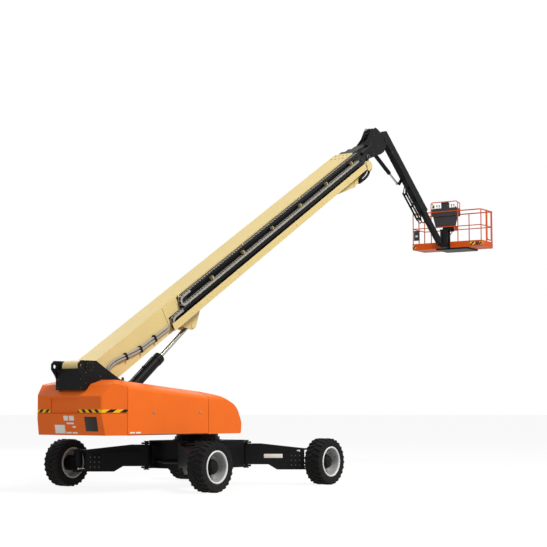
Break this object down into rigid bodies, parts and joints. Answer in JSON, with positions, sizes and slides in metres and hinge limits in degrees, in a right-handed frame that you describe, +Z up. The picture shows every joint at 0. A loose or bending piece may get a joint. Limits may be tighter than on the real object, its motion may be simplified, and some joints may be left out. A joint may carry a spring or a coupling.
{
  "type": "telescopic boom lift",
  "caption": "Self-propelled telescopic boom lift with swing-out axles, slewing counterweighted turntable, telescoping boom, articulating jib and guarded work platform.",
  "frame": {"origin": "on the ground, under the middle of the machine's overall length and width in the parked pose shown", "axes": "+X forward along the boom, +Y to the machine's left, +Z up"},
  "size_m": [17.9422, 5.031, 10.2671],
  "materials": {
    "black_paint": "satin",
    "cast_weight": "satin",
    "chain_plastic": "matte",
    "chrome": "polished",
    "console_plastic": "matte",
    "cream_paint": "satin",
    "grey_paint": "satin",
    "hose_rubber": "matte",
    "orange_paint": "satin",
    "orange_shell": "gloss",
    "rim_paint": "satin",
    "tyre_rubber": "matte"
  },
  "bodies": {
    "chassis": {"chassis_frame": "black_paint"},
    "turntable": {"turntable_frame": "black_paint", "mast_plate_left": "black_paint", "mast_plate_right": "black_paint", "boom_pivot_pin": "black_paint", "mast_rear_plate": "black_paint", "counterweight": "cast_weight", "front_cowl": "orange_shell", "engine_block": "grey_paint"},
    "hood_left": {"hood_left": "orange_shell"},
    "hood_right": {"hood_right": "orange_shell"},
    "boom_base": {"boom_base": "cream_paint", "energy_chain_tray": "cream_paint", "energy_chain_upper": "chain_plastic", "energy_chain_lower": "chain_plastic", "boom_hoses": "hose_rubber"},
    "boom_outer_mid": {"boom_outer_mid": "cream_paint"},
    "boom_inner_mid": {"boom_inner_mid": "cream_paint"},
    "boom_fly": {"boom_fly": "cream_paint", "boom_head": "black_paint"},
    "lift_barrel": {"lift_cylinder_barrel": "black_paint"},
    "lift_rod": {"lift_cylinder_rod": "chrome"},
    "jib_base": {"jib_base": "black_paint", "jib_hose_carrier": "hose_rubber"},
    "jib_fly": {"jib_fly": "black_paint"},
    "jib_barrel": {"jib_cylinder_barrel": "black_paint"},
    "jib_rod": {"jib_cylinder_rod": "chrome"},
    "platform_support": {"platform_support": "black_paint"},
    "platform": {"platform": "orange_paint", "platform_skid": "black_paint", "control_console": "console_plastic"},
    "platform_gate": {"platform_gate": "orange_paint"},
    "axle_front_left": {"axle_beam_front_left": "black_paint"},
    "knuckle_front_left": {"knuckle_front_left": "black_paint"},
    "steer_rod_front_left": {"steer_rod_front_left": "chrome"},
    "wheel_front_left": {"tyre_front_left": "tyre_rubber", "wheel_rim_front_left": "rim_paint"},
    "axle_front_right": {"axle_beam_front_right": "black_paint"},
    "knuckle_front_right": {"knuckle_front_right": "black_paint"},
    "steer_rod_front_right": {"steer_rod_front_right": "chrome"},
    "wheel_front_right": {"tyre_front_right": "tyre_rubber", "wheel_rim_front_right": "rim_paint"},
    "axle_rear_left": {"axle_beam_rear_left": "black_paint"},
    "knuckle_rear_left": {"knuckle_rear_left": "black_paint"},
    "steer_rod_rear_left": {"steer_rod_rear_left": "chrome"},
    "wheel_rear_left": {"tyre_rear_left": "tyre_rubber", "wheel_rim_rear_left": "rim_paint"},
    "axle_rear_right": {"axle_beam_rear_right": "black_paint"},
    "knuckle_rear_right": {"knuckle_rear_right": "black_paint"},
    "steer_rod_rear_right": {"steer_rod_rear_right": "chrome"},
    "wheel_rear_right": {"tyre_rear_right": "tyre_rubber", "wheel_rim_rear_right": "rim_paint"}
  },
  "joints": [
    {"name": "axle_swing_front_left", "type": "hinge", "parent": "chassis", "child": "axle_front_left", "pos_m": [-3.18109, 0.6, 0.76], "axis": [0, 0, 1], "range_deg": [-50.4, 0]},
    {"name": "steer_front_left", "type": "hinge", "parent": "axle_front_left", "child": "knuckle_front_left", "pos_m": [-2.14709, 1.9, 0.64], "axis": [0, 0, 1], "range_deg": [-35, 50.4]},
    {"name": "wheel_spin_front_left", "type": "hinge", "parent": "knuckle_front_left", "child": "wheel_front_left", "pos_m": [-2.14709, 2.2925, 0.5775], "axis": [0, 1, 0], "continuous": true},
    {"name": "steer_rod_slide_front_left", "type": "slide", "parent": "axle_front_left", "child": "steer_rod_front_left", "axis": [0.6225, 0.7826, 0], "range_m": [-0.0486, 0.07]},
    {"name": "axle_swing_front_right", "type": "hinge", "parent": "chassis", "child": "axle_front_right", "pos_m": [-3.18109, -0.6, 0.76], "axis": [0, 0, 1], "range_deg": [0, 50.4]},
    {"name": "steer_front_right", "type": "hinge", "parent": "axle_front_right", "child": "knuckle_front_right", "pos_m": [-2.14709, -1.9, 0.64], "axis": [0, 0, 1], "range_deg": [-50.4, 35]},
    {"name": "wheel_spin_front_right", "type": "hinge", "parent": "knuckle_front_right", "child": "wheel_front_right", "pos_m": [-2.14709, -2.2925, 0.5775], "axis": [0, 1, 0], "continuous": true},
    {"name": "steer_rod_slide_front_right", "type": "slide", "parent": "axle_front_right", "child": "steer_rod_front_right", "axis": [0.6225, -0.7826, 0], "range_m": [-0.0486, 0.07]},
    {"name": "axle_swing_rear_left", "type": "hinge", "parent": "chassis", "child": "axle_rear_left", "pos_m": [-5.58109, 0.6, 0.76], "axis": [0, 0, 1], "range_deg": [0, 50.4]},
    {"name": "steer_rear_left", "type": "hinge", "parent": "axle_rear_left", "child": "knuckle_rear_left", "pos_m": [-6.61509, 1.9, 0.64], "axis": [0, 0, 1], "range_deg": [-50.4, 35]},
    {"name": "wheel_spin_rear_left", "type": "hinge", "parent": "knuckle_rear_left", "child": "wheel_rear_left", "pos_m": [-6.61509, 2.2925, 0.5775], "axis": [0, 1, 0], "continuous": true},
    {"name": "steer_rod_slide_rear_left", "type": "slide", "parent": "axle_rear_left", "child": "steer_rod_rear_left", "axis": [-0.6225, 0.7826, 0], "range_m": [-0.0486, 0.07]},
    {"name": "axle_swing_rear_right", "type": "hinge", "parent": "chassis", "child": "axle_rear_right", "pos_m": [-5.58109, -0.6, 0.76], "axis": [0, 0, 1], "range_deg": [-50.4, 0]},
    {"name": "steer_rear_right", "type": "hinge", "parent": "axle_rear_right", "child": "knuckle_rear_right", "pos_m": [-6.61509, -1.9, 0.64], "axis": [0, 0, 1], "range_deg": [-35, 50.4]},
    {"name": "wheel_spin_rear_right", "type": "hinge", "parent": "knuckle_rear_right", "child": "wheel_rear_right", "pos_m": [-6.61509, -2.2925, 0.5775], "axis": [0, 1, 0], "continuous": true},
    {"name": "steer_rod_slide_rear_right", "type": "slide", "parent": "axle_rear_right", "child": "steer_rod_rear_right", "axis": [-0.6225, -0.7826, 0], "range_m": [-0.0486, 0.07]},
    {"name": "turntable_slew", "type": "hinge", "parent": "chassis", "child": "turntable", "pos_m": [-4.38109, 0, 1.25], "axis": [0, 0, 1], "continuous": true},
    {"name": "hood_left_lift", "type": "hinge", "parent": "turntable", "child": "hood_left", "pos_m": [-8.14009, 0.47, 2.52], "axis": [1, 0, 0], "range_deg": [0, 65]},
    {"name": "hood_right_lift", "type": "hinge", "parent": "turntable", "child": "hood_right", "pos_m": [-8.14009, -0.47, 2.52], "axis": [-1, 0, 0], "range_deg": [0, 65]},
    {"name": "boom_lift", "type": "hinge", "parent": "turntable", "child": "boom_base", "pos_m": [-8.63109, 0, 2.83], "axis": [0, -1, 0], "range_deg": [-31.2, 41.8]},
    {"name": "telescope_outer_mid", "type": "slide", "parent": "boom_base", "child": "boom_outer_mid", "axis": [0.8554, 0, 0.518], "range_m": [0, 11.4]},
    {"name": "telescope_inner_mid", "type": "slide", "parent": "boom_outer_mid", "child": "boom_inner_mid", "axis": [0.8554, 0, 0.518], "range_m": [0, 11.4]},
    {"name": "telescope_fly", "type": "slide", "parent": "boom_inner_mid", "child": "boom_fly", "axis": [0.8554, 0, 0.518], "range_m": [0, 11.4]},
    {"name": "lift_barrel_swing", "type": "hinge", "parent": "turntable", "child": "lift_barrel", "pos_m": [-8.03109, 0, 1.42], "axis": [0, -1, 0], "range_deg": [-27.7, 37.1]},
    {"name": "lift_rod_slide", "type": "slide", "parent": "lift_barrel", "child": "lift_rod", "axis": [0.7924, 0, 0.6101], "range_m": [-0.759, 1.016]},
    {"name": "jib_swing", "type": "hinge", "parent": "boom_fly", "child": "jib_base", "pos_m": [4.14911, 0, 9.98074], "axis": [0, -1, 0], "range_deg": [-55, 75]},
    {"name": "jib_barrel_swing", "type": "hinge", "parent": "boom_fly", "child": "jib_barrel", "pos_m": [3.89832, 0.196, 9.62076], "axis": [0, -1, 0], "range_deg": [-52.5, 71.5]},
    {"name": "jib_rod_slide", "type": "slide", "parent": "jib_barrel", "child": "jib_rod", "axis": [0.8642, 0, -0.5031], "range_m": [-0.352, 0.479]},
    {"name": "jib_telescope", "type": "slide", "parent": "jib_base", "child": "jib_fly", "axis": [0.7396, 0, -0.673], "range_m": [0, 2.14]},
    {"name": "platform_level", "type": "hinge", "parent": "jib_fly", "child": "platform_support", "pos_m": [7.48424, 0, 7.10824], "axis": [0, -1, 0], "range_deg": [-117, 48]},
    {"name": "platform_rotate", "type": "hinge", "parent": "platform_support", "child": "platform", "pos_m": [7.73724, 0, 7.04324], "axis": [0, 0, 1], "range_deg": [-95.7, 84.3]},
    {"name": "gate_swing", "type": "hinge", "parent": "platform", "child": "platform_gate", "pos_m": [8.89935, -1.07088, 7.74324], "axis": [0, 0, 1], "range_deg": [-85, 0]}
  ],
  "couplings": [
    {"joint": "steer_rod_slide_front_left", "follows": "steer_front_left", "m_per_rad": 0.0792},
    {"joint": "steer_rod_slide_front_right", "follows": "steer_front_right", "m_per_rad": -0.0792},
    {"joint": "steer_rod_slide_rear_left", "follows": "steer_rear_left", "m_per_rad": -0.0792},
    {"joint": "steer_rod_slide_rear_right", "follows": "steer_rear_right", "m_per_rad": 0.0792},
    {"joint": "telescope_inner_mid", "follows": "telescope_outer_mid", "ratio": 1},
    {"joint": "telescope_fly", "follows": "telescope_outer_mid", "ratio": 1},
    {"joint": "lift_barrel_swing", "follows": "boom_lift", "ratio": 0.885},
    {"joint": "lift_rod_slide", "follows": "boom_lift", "m_per_rad": 1.39},
    {"joint": "jib_barrel_swing", "follows": "jib_swing", "ratio": 0.945},
    {"joint": "jib_rod_slide", "follows": "jib_swing", "m_per_rad": 0.365}
  ]
}
